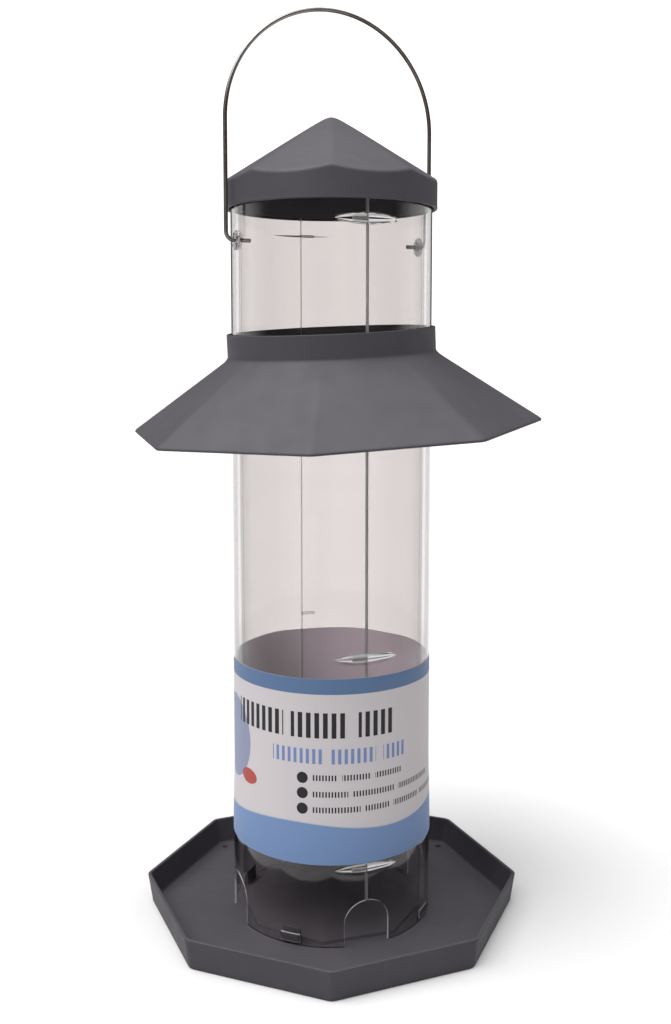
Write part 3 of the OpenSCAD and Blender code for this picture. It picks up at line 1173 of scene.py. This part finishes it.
def make_label(front, back):
    """Paper sleeve wrapped round the tube, its ends overlapping at the back."""
    count = 186
    sweep = LABEL_END - LABEL_START
    columns = [LABEL_START + sweep * i / count for i in range(count + 1)]
    rows = [0, 0.004, 0.02] + [i / 12 for i in range(1, 12)] + [0.98, 0.996, 1]
    points, uvs = [], []
    for face_r in (LABEL_R + LABEL_T, LABEL_R):
        for turn in columns:
            lift = min(1, max(0, (turn - OVER_START) / OVER_RUN)) * LABEL_OVER
            fast, slow = math.radians(turn * 7), math.radians(turn * 2.5)
            ripple = RIPPLE * math.sin(fast) * math.cos(slow)
            away = (1 - math.cos(math.radians(turn))) / 2
            for share in rows:
                wobble = ripple * away * (1 if share > 0.5 else 0.5)
                z = LABEL_Z + LABEL_H * share + wobble * abs(2 * share - 1)
                points.append(at_turn(turn, face_r + lift + flare(z), z))
                along = math.radians(turn) * (LABEL_R + LABEL_T)
                uvs.append((along * MM, (LABEL_Z + LABEL_H * share) * MM))
    w, h = len(columns), len(rows)
    inner = w * h
    faces, slots = [], []
    for i in range(w - 1):
        for k in range(h - 1):
            a, b = i * h + k, (i + 1) * h + k
            faces.append((a, b, b + 1, a + 1))
            slots.append(0)
            faces.append((inner + a, inner + a + 1, inner + b + 1, inner + b))
            slots.append(1)
        a, b = i * h, (i + 1) * h
        faces += [
            (b, a, inner + a, inner + b),
            (a + h - 1, b + h - 1, inner + b + h - 1, inner + a + h - 1),
        ]
        slots += [1, 1]
    for k in range(h - 1):
        last = (w - 1) * h
        faces += [
            (k, k + 1, inner + k + 1, inner + k),
            (last + k + 1, last + k, inner + last + k, inner + last + k + 1),
        ]
        slots += [1, 1]
    label = make_object("label", points, faces, [front, back], slots)
    layer = label.data.uv_layers.new(name="sheet")
    for loop in label.data.loops:
        layer.data[loop.index].uv = uvs[loop.vertex_index]
    label.data.shade_smooth()
    label.data.set_sharp_from_angle(angle=math.radians(40))
    return label


# ------------------------------------------------------------ light, camera


def light_world():
    """White seen directly and through the tube, and softer light from above for the rest.

    Clear mirror reflections find white in two side panels behind the feeder.
    """
    world = bpy.data.worlds.new("studio")
    bpy.context.scene.world = world
    world.use_nodes = True
    tree = world.node_tree
    background = tree.nodes["Background"]
    coords = node(tree, "ShaderNodeTexCoord")
    split = node(tree, "ShaderNodeSeparateXYZ")
    tree.links.new(coords.outputs["Generated"], split.inputs["Vector"])
    sky = ramp(
        tree,
        split.outputs["Z"],
        [
            (0.0, (0.07, 0.07, 0.071)),
            (0.5, (0.12, 0.12, 0.121)),
            (0.8, (0.45, 0.45, 0.45)),
            (1.0, (1, 1, 1)),
        ],
    )
    soft = node(tree, "ShaderNodeBackground")
    tree.links.new(sky, soft.inputs["Color"])
    soft.inputs["Strength"].default_value = SKY_STRENGTH
    background.inputs["Color"].default_value = (1, 1, 1, 1)
    background.inputs["Strength"].default_value = BACKDROP_STRENGTH
    path = node(tree, "ShaderNodeLightPath").outputs

    def before_first(depth):
        """1 before the first bounce of this kind, and 0 after it."""
        return spread(tree, path[depth], 1, 0, 0.4, 0.6)

    direct = maths(tree, "MAXIMUM", path["Is Camera Ray"], path["Is Transmission Ray"])
    direct = maths(tree, "MULTIPLY", direct, before_first("Glossy Depth"))
    behind = spread(tree, split.outputs["Y"], 0, 1, -0.2, 0.2)
    sideways = maths(tree, "ABSOLUTE", split.outputs["X"])
    panels = spread(tree, sideways, 0, 1, PANEL_START, PANEL_FULL)
    panels = maths(tree, "MULTIPLY", behind, panels)
    mirrored = maths(tree, "MULTIPLY", path["Is Singular Ray"], panels)
    white = maths(tree, "MAXIMUM", direct, mirrored)
    white = maths(tree, "MULTIPLY", white, before_first("Diffuse Depth"))
    mix = node(tree, "ShaderNodeMixShader")
    tree.links.new(white, mix.inputs["Fac"])
    tree.links.new(soft.outputs["Background"], mix.inputs[1])
    tree.links.new(background.outputs["Background"], mix.inputs[2])
    tree.links.new(mix.outputs["Shader"], tree.nodes["World Output"].inputs["Surface"])


def add_sun(name, strength, width, turn, elevation):
    """Broad even lamp, width degrees across, that shines from this turn and elevation."""
    data = bpy.data.lights.new(name, "SUN")
    data.energy = strength
    data.angle = math.radians(width)
    lamp = bpy.data.objects.new(name, data)
    tilt = math.radians(90 - elevation)
    lamp.rotation_euler = Euler((tilt, 0, math.radians(turn)), "XYZ")
    bpy.context.scene.collection.objects.link(lamp)


def add_floor(material):
    half = FLOOR_HALF
    points = [(-half, -half, 0), (half, -half, 0), (half, half, 0), (-half, half, 0)]
    floor = make_object("floor", points, [(0, 1, 2, 3)], [material])


def add_camera():
    data = bpy.data.cameras.new("camera")
    data.sensor_width = 36
    data.lens = CAMERA_LENS
    data.shift_y = CAMERA_SHIFT_UP
    data.clip_end = 100
    camera = bpy.data.objects.new("camera", data)
    camera.location = CAMERA_AT
    camera.rotation_euler = (math.pi / 2 - CAMERA_DOWN, 0, CAMERA_YAW)
    bpy.context.scene.collection.objects.link(camera)
    bpy.context.scene.camera = camera


def hand_over(obj, body, slot, *nodes):
    """Joins a finished piece to its body and hides its CAD solids; the material slot given
    is not used.
    """
    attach(obj, body)
    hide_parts(*nodes)
    return obj


def build():
    slate = (0.0435, 0.0395, 0.0475)
    plastic = moulded_plastic("grey_plastic", slate)
    sheet = [clear_plastic(), cut_edge(), rubbed_strip(), lip_with_painted_highlight()]
    milky = milky_plastic()
    hand_over(make_tray(plastic), "feeder", "grey_plastic", "tray_pan")
    hand_over(make_spreader(plastic), "feeder", "grey_plastic", "seed_spreader")
    right = make_half("tube_shell_right", SEAM_TURN, sheet)
    hand_over(right, "feeder", "clear_sheet", "tube_half_right")
    left = make_half("tube_shell_left", SEAM_TURN + 180, sheet)
    hand_over(left, "feeder", "clear_sheet", "tube_half_left")
    label = make_label(printed_paper(), paper_back_with_painted_glow())
    hand_over(label, "feeder", "label_paper", "label_sleeve")
    hand_over(make_roof(plastic), "roof", "grey_plastic", "roof_cap")
    hand_over(make_shelter(plastic), "shelter", "grey_plastic", "rain_shelter")
    hand_over(make_bail(drawn_wire()), "bail", "wire", "bail_wire")
    for side, turn in (("left", BAIL_TURN + 180), ("right", BAIL_TURN)):
        bush = make_grommet(f"grommet_{side}", turn, milky)
        hand_over(bush, "feeder", "clear_grommet", f"bail_grommet_{side}")


build()
light_world()
add_sun("key", strength=2.2, width=50, turn=-62, elevation=60)
add_sun("left", strength=0.75, width=50, turn=-95, elevation=52)
add_sun("right", strength=0.55, width=50, turn=108, elevation=54)
add_sun("top", strength=2.1, width=40, turn=-15, elevation=80)
add_sun("front", strength=0.45, width=36, turn=-30, elevation=26)
add_floor(pale_floor())
add_camera()
bpy.context.scene.view_settings.view_transform = "Standard"
